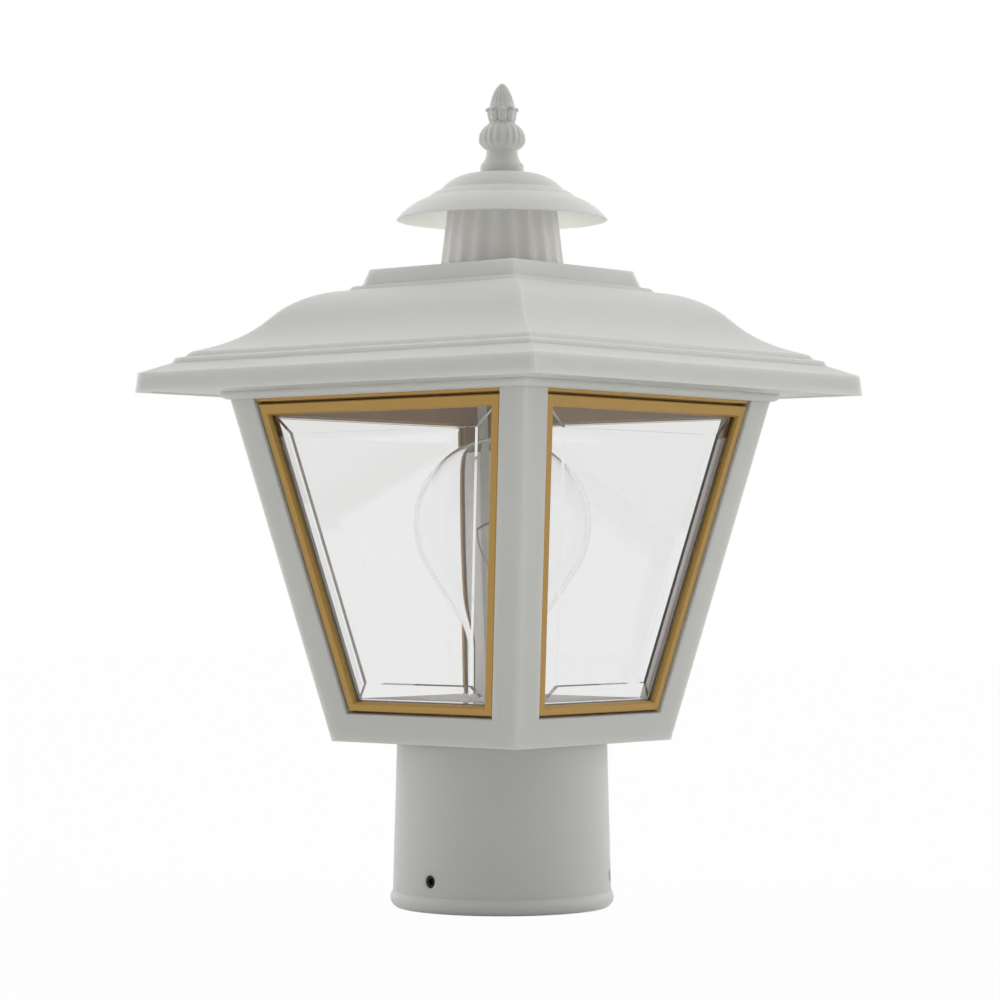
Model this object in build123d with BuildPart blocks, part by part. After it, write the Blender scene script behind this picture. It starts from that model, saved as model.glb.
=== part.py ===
"""Post top lantern: a square tapering cage on a round post collar, four framed panes,
an ogee roof that lifts off for the bulb, and a fluted chimney with a cap and finial.

Millimetres, +Z up. The origin is the centre of the collar's lower rim.
The front window faces -Y and the right one +X.
"""
from build123d import *

import os
from math import atan, cos, degrees, pi, radians, sin, tan

os.makedirs("parts", exist_ok=True)

# ---------------------------------------------------------------- post collar
post_radius = 38.1              # 3 inch post
post_clearance = 0.4            # all round, between post and collar
collar_height = 63.5
collar_top_radius = 40.6
collar_foot_radius = 42.15      # just above the lip: the mould's draft
lip_height = 6.2
lip_bulge = 0.95                # how far the lip stands out of the wall
lip_foot_inset = 1.1            # the lip turns in again at its foot
collar_flange = 3.5             # plate under the cage
stop_height = 33.0              # underside of the ledge that the post's rim meets
stop_thickness = 2.5
stop_radius = 35.5
wire_hole_radius = 27.0         # through the flange and the cage floor
set_screw_height = 12.0
set_screw_radius = 2.45
set_screw_length = 2.5
set_screw_recess = 0.8          # how far it is sunk below the collar's face
set_screw_key = 1.2             # across half of its hexagon socket
set_screw_turns = (270, 30, 150)

# ---------------------------------------------------------------- cage
body_bottom_half = 46.8
body_lean = 11.88               # degrees that each face leans outward
body_height = 136.9             # up to the top of the flange that carries the roof
body_wall = 4.5
floor_thickness = 4.0
corner_radius = 1.0
post_width = 12.3               # corner post, measured level along a face
window_bottom = 10.9            # up the slope, from the cage's lower edge
window_head = 5.67              # from the window's upper edge up to the top of the flange
bead_height = 4.2
bead_stand_out = 2.0            # of the rim bead, from the face
soffit_thickness = 2.5
screw_clearance = 0.05          # around shanks in their holes

# ---------------------------------------------------------------- window trim and panes
trim_gap = 1.0                  # dark line between opening and bar
trim_recess = 1.0               # bar face below the cage's face
bar_thickness = 2.0
side_bar_width = 4.1
bottom_bar_width = 3.6
top_bar_width = 4.7
top_groove = 1.0
top_lip = 1.3                   # narrow strip above the groove
top_lip_recess = 1.2
bar_chamfer = 0.35              # along a bar's outer edge
bar_bevel = 0.9                 # along its inner edge
lip_fit = 0.15
side_lap = 2.6                  # of the trim's flange behind the wall
bottom_lap = 5.8
top_lap = 4.6
pane_edge = 2.5                 # thickness, the same all over
pane_rise = 1.3                 # how far the middle stands forward
pane_lap = 1.8                  # of the pane under the bars
pane_fit = 0.3
bevel_margin = 0.6              # flat strip between bar and bevel
bevel_width = 6.6
retainer_thickness = 1.5
screw_inset = 8.0               # of the retainer screws from the opening's sides
retainer_screw_radius = 1.1
retainer_screw_length = 4.1
retainer_head_radius = 2.0
retainer_head_height = 1.2

# ---------------------------------------------------------------- roof
eave_half = 100.0
eave_drop = 3.0                 # fascia's lower edge below the top of the cage's flange
fascia_height = 7.6
fascia_draft = 0.6
lower_step_inset = 9.9          # insets are from the eave's edge
lower_step_height = 11.5        # heights are above the eave
lower_step_run = 0.8
lower_step_rise = 1.9
upper_step_inset = 13.5
upper_step_height = 14.0
upper_step_run = 1.4
upper_step_rise = 1.8
sweep_inset = 18.5              # where the ogee's hollow sweep ends
sweep_height = 17.0
turn_half = 63.8                # where the ogee turns from hollow to round
turn_height = 28.8
shoulder_half = 56.0
shoulder_height = 35.6
crown_half = 44.0
crown_height = 39.7
ledge_half = 42.2
ledge_run = 1.1
ledge_rise = 1.65
deck_base_half = 38.4
deck_base_rise = 0.4
deck_draft = 2.05
deck_height = 6.25
roof_wall = 2.6
roof_fit = 0.6                  # between fascia and the cage's flange
roof_boss_inset = 16.0
roof_boss_radius = 4.5
soffit_boss_height = 2.2        # pads on the flange that the roof's bosses stand on
roof_screw_radius = 1.7
roof_screw_length = 9.0
roof_screw_head_radius = 3.0
roof_screw_head_height = 1.6
roof_screw_sink = 0.4           # of the head below the soffit

# ---------------------------------------------------------------- chimney, cap and finial
chimney_foot_radius = 24.2
chimney_top_radius = 20.9
chimney_height = 27.6
chimney_wall = 2.6              # behind the flutes
flute_count = 20
flute_depth = 0.9
flute_share = 0.88              # of the pitch that a flute takes
flute_turn = 6.15               # of the first flute from +X
cap_rim_radius = 41.0
cap_rim_drop = 8.1              # rim's edge below the chimney's top
cap_rim_thickness = 1.4
cap_tier_radius = 29.0
cap_tier_height = 0.4           # heights are above the chimney's top
cap_ledge_radius = 26.8
cap_ledge_height = 2.2
cap_dome_radius = 24.0
cap_dome_height = 3.4
cap_seat_width = 9.0            # flat ring on the chimney's top
cap_top_radius = 9.0
cap_top_height = 9.9
cap_dome_bow = 2.0              # how far each curve bows out of its chord
cap_brim_bow = 1.1
cap_wall = 2.4
stud_radius = 2.4
stud_fit = 0.05
stud_grip = 10.0                # length inside the finial
stud_tail = 1.0                 # below its nut
nut_flat = 4.0                  # half across the flats
nut_thickness = 3.4
washer_radius = 7.0
washer_thickness = 1.0

finial_foot_radius = 8.45       # heights are above the cap's top
finial_foot_height = 3.8
finial_foot_round = 0.5
finial_neck_radius = 6.0
finial_neck_height = 8.9
finial_trumpet_bow = 0.4
finial_bulb_radius = 9.33
finial_bulb_height = 13.2
finial_ring_radius = 5.05       # narrow ring above the bulb
finial_ring_foot = 19.6
finial_ring_top = 20.1
finial_cup_foot_radius = 4.4
finial_cup_foot = 20.6
finial_cup_radius = 5.2
finial_cup_height = 26.4
finial_cup_bow = 0.3
finial_bud_radius = 4.03
finial_bud_height = 30.0
finial_tip_radius = 2.49
finial_tip_height = 33.1
finial_height = 35.3
gadroon_count = 20              # hollow flutes round the bulb
gadroon_radius = 1.2            # of their round cutter
gadroon_lift = 0.8              # of the cutter's centre above the bulb
gadroon_fade = 0.8              # how far it lifts further toward both ends
gadroon_reach = 62              # degrees that a flute runs up and down from the bulb's middle
leaf_count = 8
leaf_root_radius = 0.9
leaf_root_reach = 4.0
leaf_root_height = 20.4
leaf_tip_radius = 1.25
leaf_tip_reach = 5.35
leaf_tip_height = 24.4

# ---------------------------------------------------------------- lampholder
socket_radius = 19.0
socket_rim = 8.0                # above the cage's lower edge
socket_height = 32.5
socket_floor = 6.0
socket_lip = 2.5                # of the body above its metal shell
shell_thickness = 0.5
shell_fit = 0.3
bulb_fit = 0.3
contact_thickness = 0.5
contact_width = 6.0
contact_foot = 7.0
bracket_width = 18.0
bracket_thickness = 1.5
bracket_side_gap = 2.0          # between socket and bracket leg
bracket_ear = 13.0
ear_edge = 4.0                  # from the ear's end to its screw
ear_boss_height = 3.0
ear_boss_radius = 4.2
ear_screw_radius = 1.9
ear_screw_length = 7.5
ear_head_radius = 3.6
ear_head_height = 2.0
nipple_radius = 4.8
nipple_bore = 3.4
nipple_grip = 4.5
nipple_tail = 0.8               # below its nut
nipple_nut_flat = 7.0           # half across the flats
nipple_nut_thickness = 3.0
terminal_radius = 1.5
terminal_length = 3.5
terminal_head_radius = 2.8
terminal_head_height = 1.4
terminal_height = 5.0           # above the socket's foot

collar_screw_reach = 32.0
collar_screw_count = 4
collar_screw_radius = 1.9
collar_screw_length = 9.5
collar_head_radius = 3.4
collar_head_height = 2.2
collar_boss_radius = 4.2
collar_boss_height = 4.0

# ---------------------------------------------------------------- bulb
bulb_radius = 33.5
bulb_centre = 84.0              # above the cage's lower edge
bulb_glass = 0.8
bulb_cone = 33.2                # degrees of the flank from the axis
bulb_flank = 36.5               # lower end of the flank, below the bulb's centre
bulb_neck_radius = 12.5
bulb_seat = 3.0                 # of the glass inside its metal base
base_radius = 13.2
base_height = 18.0
base_top = 9.5                  # above the cage's lower edge
base_thickness = 0.4
base_cone_height = 4.2
base_cone_foot = 5.6
base_contact_radius = 4.6
base_contact_height = 2.6
stem_radius = 4.0
stem_flare = 1.5                # plate that closes the glass at its foot
stem_height = 46.0              # above the metal base
lead_radius = 0.4
lead_spread = 1.8               # of the two leads from the axis, on the stem
lead_rise = 26.0
filament_radius = 0.45
filament_reach = 12.0
filament_arch = 3.0

# ---------------------------------------------------------------- worked out from the above
lean = radians(body_lean)
flare = atan(sin(lean))                         # of a window's sides in its own face
window_top = (body_height - window_head) / cos(lean)
bore_radius = post_radius + post_clearance
body_z = collar_height
soffit_z = body_z + body_height - soffit_thickness
soffit_half = eave_half - roof_wall - roof_fit
lower_step_half = eave_half - lower_step_inset
upper_step_half = eave_half - upper_step_inset
sweep_half = eave_half - sweep_inset
roof_boss_reach = eave_half - roof_boss_inset
eave_z = body_z + body_height - eave_drop
deck_base_z = eave_z + crown_height + ledge_rise + deck_base_rise
deck_top_z = deck_base_z + deck_height
deck_under_z = deck_top_z - roof_wall
chimney_top_z = deck_top_z + chimney_height
cap_top_z = chimney_top_z + cap_top_height
floor_top_z = body_z + floor_thickness
soffit_boss_top = body_z + body_height + soffit_boss_height
leg_inner = socket_radius + bracket_side_gap
leg_outer = leg_inner + bracket_thickness
ear_reach = leg_outer + bracket_ear - ear_edge
side_bar = trim_gap + side_bar_width            # from the opening to the clear pane
bottom_bar = trim_gap + bottom_bar_width
top_bar = top_lip + top_groove + top_bar_width
bar_back = trim_recess + bar_thickness          # depths are measured inward from the face
pane_back = bar_back + pane_edge
bevel_shift = pane_edge * tan(atan(pane_rise / bevel_width) / 2)    # of its folds, from front to back
socket_foot_z = body_z + socket_rim - socket_height
socket_floor_z = socket_foot_z + socket_floor
bulb_z = body_z + bulb_centre
base_top_z = body_z + base_top
base_cone_z = base_top_z - base_height
base_contact_z = base_cone_z - base_cone_height
terminal_z = socket_foot_z + terminal_height
stem_top_z = base_top_z + stem_height
lead_top_z = stem_top_z + lead_rise


def save(piece, name):
    """Name a finished piece and write it."""
    piece.label = name
    export_step(piece, f"parts/{name}.step")


def radial_plane(turn, reach, z):
    """Plane that faces outward from the axis, at a turn, a reach and a height."""
    outward = Vector(1, 0, 0).rotate(Axis.Z, turn)
    return Plane(origin=outward * reach + Vector(0, 0, z), z_dir=outward)


def body_half(z, depth=0.0):
    """Half the width of the cage's face planes at a height, sunk by a depth."""
    return body_bottom_half + (z - body_z) * tan(lean) - depth / cos(lean)


def window_plane(turn, depth=0.0):
    """Plane in one face of the cage: X along it, Y up its slope, Z outward, sunk by depth."""
    outward = Vector(0, -1, 0).rotate(Axis.Z, turn)
    along = Vector(1, 0, 0).rotate(Axis.Z, turn)
    normal = outward * cos(lean) + Vector(0, 0, -sin(lean))
    origin = outward * body_bottom_half + Vector(0, 0, body_z) - normal * depth
    return Plane(origin=origin, x_dir=along, z_dir=normal)


def opening_half(height):
    """Half the width of a window opening at a height up the slope."""
    return body_bottom_half - post_width + height * sin(lean)


def outline(side, bottom, top):
    """Corners of a window outline, drawn in from the opening by these distances."""
    low = window_bottom + bottom
    high = window_top - top
    shrink = side / cos(flare)
    low_half = opening_half(low) - shrink
    high_half = opening_half(high) - shrink
    return [(-low_half, low), (low_half, low), (high_half, high), (-high_half, high)]


def clear_pane(inset):
    """Corners of the pane's clear area inside the bars, drawn in by an inset."""
    return outline(side_bar + inset, bottom_bar + inset, top_bar + inset)


def retainer_points():
    """Places of a window's four retainer screws, in its face's plane."""
    low = window_bottom - bottom_lap / 2
    high = window_top + top_lap / 2
    return [(side * (opening_half(level) - screw_inset), level) for level in (low, high) for side in (-1, 1)]


def make_screw(radius, length, head_radius, head_height):
    """A pan-head screw: shank along -Z from the origin, head above it."""
    with BuildPart() as screw:
        with BuildSketch():
            Circle(radius)
        extrude(amount=-length)
        with BuildSketch():
            Circle(head_radius)
        extrude(amount=head_height)
        chamfer(screw.faces().sort_by(Axis.Z)[-1].edges(), head_height * 0.3)
    return screw.part


# ---------------------------------------------------------------- cage
with BuildPart() as rim_bead:
    bead_bottom = body_z + window_top * cos(lean) + 0.2
    bead_half = body_half(bead_bottom + bead_height / 2) + bead_stand_out
    with BuildSketch(Plane.XY.offset(bead_bottom)):
        Rectangle(2 * bead_half, 2 * bead_half)
    extrude(amount=bead_height)
    bead_rim = rim_bead.faces().sort_by(Axis.Z)
    fillet(bead_rim[0].edges() + bead_rim[-1].edges(), bead_height / 2 - 0.05)

with BuildPart() as body_cage:
    for level in (body_z, soffit_z + soffit_thickness / 2):
        with BuildSketch(Plane.XY.offset(level)):
            Rectangle(2 * body_half(level), 2 * body_half(level))
    loft(ruled=True)
    fillet(body_cage.edges().filter_by(lambda edge: abs(edge.tangent_at(0).Z) > 0.5), corner_radius)
    add(rim_bead.part)
    # the soffit: a level flange under the roof
    with BuildSketch(Plane.XY.offset(soffit_z)):
        Rectangle(2 * soffit_half, 2 * soffit_half)
    extrude(amount=soffit_thickness)
    # hollow inside, open at the top
    for level in (floor_top_z, body_z + body_height):
        with BuildSketch(Plane.XY.offset(level)):
            Rectangle(2 * body_half(level, body_wall), 2 * body_half(level, body_wall))
    loft(ruled=True, mode=Mode.SUBTRACT)
    # windows
    for turn in (0, 90, 180, 270):
        with BuildSketch(window_plane(turn, 2 * body_wall)):
            Polygon(*outline(0, 0, 0), align=None)
        extrude(amount=3 * body_wall, mode=Mode.SUBTRACT)
        with BuildSketch(window_plane(turn, body_wall)):
            with Locations(*retainer_points()):
                Circle(retainer_screw_radius + screw_clearance)
        extrude(amount=body_wall / 2, mode=Mode.SUBTRACT)
    # bosses on the floor for the collar's screws and the lampholder's bracket
    with BuildSketch(Plane.XY.offset(floor_top_z)):
        with PolarLocations(collar_screw_reach, collar_screw_count, start_angle=45):
            Circle(collar_boss_radius)
    extrude(amount=collar_boss_height)
    with BuildSketch(Plane.XY.offset(floor_top_z)):
        with PolarLocations(ear_reach, 2):
            Circle(ear_boss_radius)
    extrude(amount=ear_boss_height)
    # pads on the soffit for the roof
    with BuildSketch(Plane.XY.offset(body_z + body_height)):
        with PolarLocations(roof_boss_reach, 4):
            Circle(roof_boss_radius)
    extrude(amount=soffit_boss_height)
    # holes: wires, collar screws, bracket screws, roof screws
    with BuildSketch(Plane.XY.offset(body_z)):
        Circle(wire_hole_radius)
    extrude(amount=floor_thickness, mode=Mode.SUBTRACT)
    with BuildSketch(Plane.XY.offset(body_z)):
        with PolarLocations(collar_screw_reach, collar_screw_count, start_angle=45):
            Circle(collar_screw_radius + screw_clearance)
    extrude(amount=floor_thickness + collar_boss_height - 1.0, mode=Mode.SUBTRACT)
    with BuildSketch(Plane.XY.offset(floor_top_z + ear_boss_height)):
        with PolarLocations(ear_reach, 2):
            Circle(ear_screw_radius + screw_clearance)
    extrude(amount=-(ear_screw_length - bracket_thickness + 0.5), mode=Mode.SUBTRACT)
    with BuildSketch(Plane.XY.offset(soffit_z)):
        with PolarLocations(roof_boss_reach, 2):
            Circle(roof_screw_radius + screw_clearance)
    extrude(amount=soffit_thickness + soffit_boss_height, mode=Mode.SUBTRACT)
    with BuildSketch(Plane.XY.offset(soffit_z)):
        with PolarLocations(roof_boss_reach, 2):
            Circle(roof_screw_head_radius + screw_clearance)
    extrude(amount=roof_screw_sink + roof_screw_head_height, mode=Mode.SUBTRACT)
save(body_cage.part, "body_cage")

# ---------------------------------------------------------------- post collar
with BuildPart() as post_collar:
    with BuildSketch(Plane.XZ):
        with BuildLine():
            lip = ThreePointArc(
                (collar_foot_radius - lip_foot_inset, 0),
                (collar_foot_radius + lip_bulge, lip_height / 2),
                (collar_foot_radius, lip_height),
            )
            Polyline(
                lip @ 1,
                (collar_top_radius, collar_height),
                (wire_hole_radius, collar_height),
                (wire_hole_radius, collar_height - collar_flange),
                (bore_radius, collar_height - collar_flange),
                (bore_radius, stop_height + stop_thickness),
                (stop_radius, stop_height + stop_thickness),
                (stop_radius, stop_height),
                (bore_radius, stop_height),
                (bore_radius, 0),
                lip @ 0,
            )
        make_face()
    revolve(axis=Axis.Z)
    with BuildSketch(Plane.XY.offset(collar_height)):
        with PolarLocations(collar_screw_reach, collar_screw_count, start_angle=45):
            Circle(collar_screw_radius + screw_clearance)
    extrude(amount=-collar_flange, mode=Mode.SUBTRACT)
    for turn in set_screw_turns:
        with BuildSketch(radial_plane(turn, post_radius, set_screw_height)):
            Circle(set_screw_radius + screw_clearance)
        extrude(amount=collar_foot_radius + lip_bulge - post_radius, mode=Mode.SUBTRACT)
save(post_collar.part, "post_collar")

with BuildPart() as collar_screws:
    upward = make_screw(collar_screw_radius, collar_screw_length, collar_head_radius, collar_head_height)
    with PolarLocations(collar_screw_reach, collar_screw_count, start_angle=45):
        add(upward.rotate(Axis.X, 180).moved(Location((0, 0, collar_height - collar_flange))))
save(collar_screws.part, "collar_screws")

# a set screw is drawn along +X and then turned to its hole
set_screw_face = collar_foot_radius - (set_screw_height - lip_height) * (
    (collar_foot_radius - collar_top_radius) / (collar_height - lip_height)
)
set_screw_outer = set_screw_face - set_screw_recess
for number, turn in enumerate(set_screw_turns, start=1):
    with BuildPart() as set_screw:
        with BuildSketch(Plane.YZ.offset(set_screw_outer)):
            Circle(set_screw_radius)
        extrude(amount=-set_screw_length)
        chamfer(set_screw.faces().sort_by(Axis.X)[0].edges(), set_screw_radius * 0.3)
        with BuildSketch(Plane.YZ.offset(set_screw_outer)):
            RegularPolygon(set_screw_key, 6, major_radius=False)
        extrude(amount=-set_screw_length * 0.6, mode=Mode.SUBTRACT)
    turned = set_screw.part.moved(Location((0, 0, set_screw_height))).rotate(Axis.Z, turn)
    save(turned, f"set_screw_{number}")


# ---------------------------------------------------------------- window trim, panes, retainers
with BuildPart() as trim_frame:
    # flange behind the wall, and bars standing in the opening
    with BuildSketch(window_plane(0, pane_back)):
        Polygon(*outline(-side_lap, -bottom_lap, -top_lap), align=None)
    extrude(amount=pane_back - body_wall)
    with BuildSketch(window_plane(0, body_wall)):
        Polygon(*outline(trim_gap, trim_gap, top_lip + top_groove), align=None)
    extrude(amount=body_wall - trim_recess)
    # clear opening, and a rebate from behind for the pane's edge
    with BuildSketch(window_plane(0, pane_back)):
        Polygon(*clear_pane(0), align=None)
    extrude(amount=pane_back - trim_recess, mode=Mode.SUBTRACT)
    facing = Axis((0, 0, 0), window_plane(0).z_dir)
    chamfer(trim_frame.faces().sort_by(facing)[-1].outer_wire().edges(), bar_chamfer)
    chamfer(trim_frame.faces().sort_by(facing)[-1].inner_wires().edges(), bar_bevel)
    with BuildSketch(window_plane(0, pane_back)):
        Polygon(*clear_pane(-pane_lap - pane_fit), align=None)
    extrude(amount=pane_edge, mode=Mode.SUBTRACT)
    # narrow lip along the top of the opening
    lip_high = window_top - lip_fit
    lip_low = window_top - top_lip
    low_end, high_end = [opening_half(level) - lip_fit / cos(flare) for level in (lip_low, lip_high)]
    lip_corners = [(-low_end, lip_low), (low_end, lip_low), (high_end, lip_high), (-high_end, lip_high)]
    with BuildSketch(window_plane(0, body_wall)):
        Polygon(*lip_corners, align=None)
    extrude(amount=body_wall - top_lip_recess)
    with BuildSketch(window_plane(0, pane_back)):
        with Locations(*retainer_points()):
            Circle(retainer_screw_radius + screw_clearance)
    extrude(amount=pane_back - body_wall, mode=Mode.SUBTRACT)

# a moulded pane: its middle stands forward inside a slanting border, alike on both faces
with BuildPart() as pane:
    with BuildSketch(window_plane(0, pane_back)):
        Polygon(*clear_pane(-pane_lap), align=None)
    extrude(amount=pane_edge)
    for face, shift, mode in ((bar_back, 0, Mode.ADD), (pane_back, bevel_shift, Mode.SUBTRACT)):
        for inset, rise in ((0, 0), (bevel_width, pane_rise)):
            with BuildSketch(window_plane(0, face - rise)):
                Polygon(*clear_pane(bevel_margin + shift + inset), align=None)
        loft(ruled=True, mode=mode)

with BuildPart() as pane_retainer:
    with BuildSketch(window_plane(0, pane_back + retainer_thickness)):
        Polygon(*outline(-side_lap, -bottom_lap, -top_lap), align=None)
        Polygon(*clear_pane(0), align=None, mode=Mode.SUBTRACT)
        with Locations(*retainer_points()):
            Circle(retainer_screw_radius + screw_clearance, mode=Mode.SUBTRACT)
    extrude(amount=retainer_thickness)

for side, turn in {"front": 0, "right": 90, "back": 180, "left": 270}.items():
    save(trim_frame.part.rotate(Axis.Z, turn), f"trim_frame_{side}")
    save(pane.part.rotate(Axis.Z, turn), f"pane_{side}")
    save(pane_retainer.part.rotate(Axis.Z, turn), f"pane_retainer_{side}")

retainer_screw = make_screw(
    retainer_screw_radius, retainer_screw_length, retainer_head_radius, retainer_head_height
)
with BuildPart() as retainer_screws:
    for turn in (0, 90, 180, 270):
        back = window_plane(turn, pane_back + retainer_thickness)
        for across, up in retainer_points():
            seat = Plane(origin=back.from_local_coords((across, up, 0)), x_dir=back.x_dir, z_dir=-back.z_dir)
            add(retainer_screw.moved(seat.location))
save(retainer_screws.part, "retainer_screws")


# ---------------------------------------------------------------- roof
def roof_section(plane, wall=0.0):
    """The roof's ogee section in an upright plane through the axis, sunk by a wall."""
    with BuildSketch(plane) as section:
        with BuildLine():
            steps = Polyline(
                (0, eave_z),
                (eave_half, eave_z),
                (eave_half - fascia_draft, eave_z + fascia_height),
                (lower_step_half, eave_z + lower_step_height),
                (lower_step_half - lower_step_run, eave_z + lower_step_height + lower_step_rise),
                (upper_step_half, eave_z + upper_step_height),
                (upper_step_half - upper_step_run, eave_z + upper_step_height + upper_step_rise),
                (sweep_half, eave_z + sweep_height),
            )
            shoulder = ThreePointArc(
                (crown_half, eave_z + crown_height),
                (shoulder_half, eave_z + shoulder_height),
                (turn_half, eave_z + turn_height),
            )
            TangentArc(shoulder @ 1, steps @ 1, tangent=shoulder % 1)
            Polyline(
                shoulder @ 0,
                (ledge_half, eave_z + crown_height),
                (ledge_half - ledge_run, eave_z + crown_height + ledge_rise),
                (deck_base_half, deck_base_z),
                (deck_base_half - deck_draft, deck_top_z),
                (0, deck_top_z),
            )
            mirror(about=Plane.YZ)
        make_face()
        if wall:
            offset(amount=-wall, mode=Mode.REPLACE)
            with Locations((0, eave_z)):
                Rectangle(2 * (eave_half - wall), 3 * wall)
    return section.sketch


def roof_block(wall=0.0):
    """Solid with the ogee section on all four sides, its hips mitred."""
    with BuildPart() as block:
        extrude(roof_section(Plane.XZ, wall), amount=eave_half + 1, both=True)
        extrude(roof_section(Plane.YZ, wall), amount=eave_half + 1, both=True, mode=Mode.INTERSECT)
    return block.part


roof_form = roof_block()
with BuildPart() as roof_bosses:
    with BuildSketch(Plane.XY.offset(soffit_boss_top)):
        with PolarLocations(roof_boss_reach, 4):
            Circle(roof_boss_radius)
    extrude(amount=sweep_height)
    add(roof_form, mode=Mode.INTERSECT)

with BuildPart() as roof:
    add(roof_form)
    add(roof_block(roof_wall), mode=Mode.SUBTRACT)
    add(roof_bosses.part)
    with BuildSketch(Plane.XY.offset(soffit_boss_top)):
        with PolarLocations(roof_boss_reach, 2):
            Circle(roof_screw_radius + screw_clearance)
    extrude(amount=roof_screw_length - soffit_thickness, mode=Mode.SUBTRACT)
    with BuildSketch(Plane.XY.offset(deck_under_z - 1)):
        Circle(stud_radius + stud_fit)
    extrude(amount=roof_wall + 2, mode=Mode.SUBTRACT)
save(roof.part, "roof")

# each roof screw hangs in its recess in the soffit, its shank up into the roof's boss
roof_screw = make_screw(roof_screw_radius, roof_screw_length, roof_screw_head_radius, roof_screw_head_height)
roof_screw_seat_z = soffit_z + roof_screw_sink + roof_screw_head_height
for side, reach in (("right", roof_boss_reach), ("left", -roof_boss_reach)):
    hung = roof_screw.rotate(Axis.X, 180).moved(Location((reach, 0, roof_screw_seat_z)))
    save(hung, f"roof_screw_{side}")


# ---------------------------------------------------------------- chimney and cap
def fluted_face(level, radius):
    """Round section with shallow flutes all round, at a level."""
    chord = flute_share * 2 * radius * sin(pi / flute_count)
    flute_radius = chord**2 / (8 * flute_depth) + flute_depth / 2
    with BuildSketch(Plane.XY.offset(level)) as section:
        Circle(radius)
        with PolarLocations(radius - flute_depth + flute_radius, flute_count, start_angle=flute_turn):
            Circle(flute_radius, mode=Mode.SUBTRACT)
    return section.sketch


with BuildPart() as chimney:
    loft(
        sections=[
            fluted_face(deck_top_z, chimney_foot_radius),
            fluted_face(chimney_top_z, chimney_top_radius),
        ],
        ruled=True,
    )
    with BuildSketch(Plane.XY.offset(deck_top_z)):
        Circle(chimney_top_radius - flute_depth - chimney_wall)
    extrude(amount=chimney_height, mode=Mode.SUBTRACT)
save(chimney.part, "chimney")

with BuildPart() as chimney_cap:
    seat_outer = chimney_top_radius + cap_seat_width / 2
    seat_inner = chimney_top_radius - cap_seat_width / 2
    rim_z = chimney_top_z - cap_rim_drop
    with BuildSketch(Plane.XZ):
        with BuildLine():
            dome = SagittaArc(
                (cap_top_radius, cap_top_z), (cap_dome_radius, chimney_top_z + cap_dome_height), cap_dome_bow
            )
            tier = Polyline(
                dome @ 1,
                (cap_ledge_radius, chimney_top_z + cap_ledge_height),
                (cap_tier_radius, chimney_top_z + cap_tier_height),
            )
            brim = SagittaArc(tier @ 1, (cap_rim_radius, rim_z), cap_brim_bow)
            rim_inner = cap_rim_radius - cap_rim_thickness
            underside = SagittaArc((seat_outer, chimney_top_z), (rim_inner, rim_z), cap_brim_bow)
            Line(brim @ 1, underside @ 1)
            Polyline(
                underside @ 0,
                (seat_inner, chimney_top_z),
                (seat_inner, cap_top_z - cap_top_height / 2),
                (cap_top_radius, cap_top_z - cap_wall),
                (stud_radius + stud_fit, cap_top_z - cap_wall),
                (stud_radius + stud_fit, cap_top_z),
                dome @ 0,
            )
        make_face()
    revolve(axis=Axis.Z)
save(chimney_cap.part, "chimney_cap")

# ---------------------------------------------------------------- finial and its stud
# one rounded leaf in the plane of +X, leaning outward
leaf_root = Vector(leaf_root_reach, 0, cap_top_z + leaf_root_height)
leaf_tip = Vector(leaf_tip_reach, 0, cap_top_z + leaf_tip_height)
leaf_length = (leaf_tip - leaf_root).length
with BuildPart() as leaf:
    with BuildSketch(Plane(origin=leaf_root, x_dir=leaf_tip - leaf_root, z_dir=(0, -1, 0))):
        with BuildLine():
            leaf_end = CenterArc((leaf_length, 0), leaf_tip_radius, 0, 90)
            Polyline(leaf_end @ 1, (0, leaf_root_radius), (0, 0), leaf_end @ 0)
        make_face()
    revolve(axis=Axis(leaf_root, leaf_tip - leaf_root))

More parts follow.
